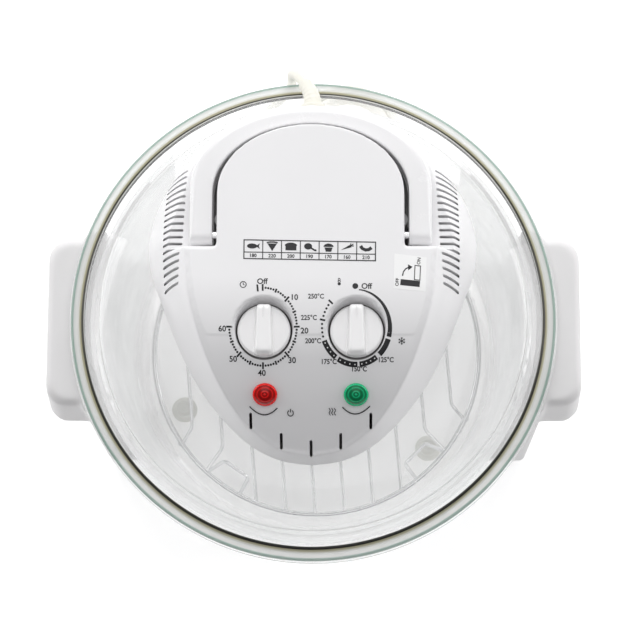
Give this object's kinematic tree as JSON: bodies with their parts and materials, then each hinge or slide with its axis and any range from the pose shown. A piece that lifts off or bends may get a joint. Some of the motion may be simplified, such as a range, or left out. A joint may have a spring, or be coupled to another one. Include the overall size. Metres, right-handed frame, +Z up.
{
  "type": "halogen oven",
  "caption": "Countertop halogen oven: glass bowl on a plastic stand, lift-off glass lid with motor and heater head, folding carry handle, timer and temperature dials, wire rack.",
  "frame": {"origin": "middle of the resting plane, under the centre of the round bowl and the fan axis", "axes": "+Z up, +X to the right seen from the front, +Y to the rear, where the cord leaves; the dials' sloping front faces -Y"},
  "size_m": [0.3872, 0.4038, 0.3033],
  "materials": {
    "housing_white": "glossy moulded",
    "stand_white": "satin moulded",
    "oven_glass": "clear, slightly green at the edges",
    "quartz": "clear quartz with a filament",
    "bright_steel": "bright",
    "zinc_steel": "zinc plated",
    "foot_rubber": "matte",
    "silicone": "satin",
    "ceramic": "matte ceramic and mineral fibre",
    "phenolic": "matte",
    "copper_wire": "enamelled winding",
    "cord_white": "satin flexible",
    "fan_plastic": "matte",
    "lens_red": "translucent glossy",
    "lens_green": "translucent glossy"
  },
  "bodies": {
    "base": {"base_stand": "stand_white", "foot_1": "foot_rubber", "foot_2": "foot_rubber", "foot_3": "foot_rubber", "foot_4": "foot_rubber", "bowl_pad_1": "silicone", "bowl_pad_2": "silicone", "bowl_pad_3": "silicone"},
    "bowl": {"glass_bowl": "oven_glass", "power_cord_coil": "cord_white", "mains_plug": "cord_white"},
    "rack": {"wire_rack": "bright_steel"},
    "head": {"glass_lid": "oven_glass", "upper_housing": "housing_white", "lower_housing": "housing_white", "gasket_upper": "silicone", "gasket_lower": "silicone", "reflector_pan": "bright_steel", "insulation_disc": "ceramic", "heater_guard": "bright_steel", "halogen_tube": "quartz", "tube_end_1": "ceramic", "tube_end_2": "ceramic", "tube_clip_1": "bright_steel", "tube_clip_2": "bright_steel", "motor_stator": "zinc_steel", "motor_coil": "copper_wire", "motor_bracket": "zinc_steel", "safety_switch": "phenolic", "timer_body": "zinc_steel", "thermostat_body": "ceramic", "thermostat_sensor": "bright_steel", "power_lamp": "lens_red", "heat_lamp": "lens_green", "terminal_block": "ceramic", "thermal_fuse": "zinc_steel", "supply_lead": "cord_white", "strain_relief": "cord_white", "power_cord_run": "cord_white", "housing_screw_1": "zinc_steel", "housing_screw_2": "zinc_steel", "housing_screw_3": "zinc_steel", "housing_screw_4": "zinc_steel", "clamp_screw_1": "zinc_steel", "clamp_screw_2": "zinc_steel", "clamp_screw_3": "zinc_steel"},
    "handle": {"carry_handle": "housing_white", "pivot_pin_left": "bright_steel", "pivot_pin_right": "bright_steel", "switch_cam": "phenolic"},
    "plunger": {"switch_plunger": "silicone"},
    "timer": {"timer_knob": "housing_white", "timer_shaft": "zinc_steel"},
    "thermostat": {"temperature_knob": "housing_white", "thermostat_shaft": "zinc_steel"},
    "fan": {"motor_rotor": "zinc_steel", "fan_shaft": "bright_steel", "cooling_fan": "fan_plastic", "convection_fan": "bright_steel", "fan_nut": "zinc_steel"}
  },
  "joints": [
    {"name": "bowl_lift", "type": "slide", "parent": "base", "child": "bowl", "axis": [0, 0, 1], "range_m": [0, 0.2]},
    {"name": "lid_lift", "type": "slide", "parent": "bowl", "child": "head", "axis": [0, 0, 1], "range_m": [0, 0.22]},
    {"name": "rack_lift", "type": "slide", "parent": "bowl", "child": "rack", "axis": [0, 0, 1], "range_m": [0, 0.12]},
    {"name": "handle_fold", "type": "hinge", "parent": "head", "child": "handle", "pos_m": [0, 0.041, 0.29], "axis": [1, 0, 0], "range_deg": [0, 90]},
    {"name": "switch_travel", "type": "slide", "parent": "head", "child": "plunger", "axis": [0, 0, 1], "range_m": [0, 0.0031]},
    {"name": "timer_turn", "type": "hinge", "parent": "head", "child": "timer", "pos_m": [-0.031, -0.0255, 0.2901], "axis": [0, 0, 1], "range_deg": [-270, 0]},
    {"name": "temperature_turn", "type": "hinge", "parent": "head", "child": "thermostat", "pos_m": [0.031, -0.0255, 0.2901], "axis": [0, 0, 1], "range_deg": [-315, 0]},
    {"name": "fan_spin", "type": "hinge", "parent": "head", "child": "fan", "pos_m": [0, 0, 0.21], "axis": [0, 0, 1], "continuous": true}
  ],
  "couplings": [
    {"joint": "switch_travel", "follows": "handle_fold", "m_per_rad": 0.0019099}
  ]
}
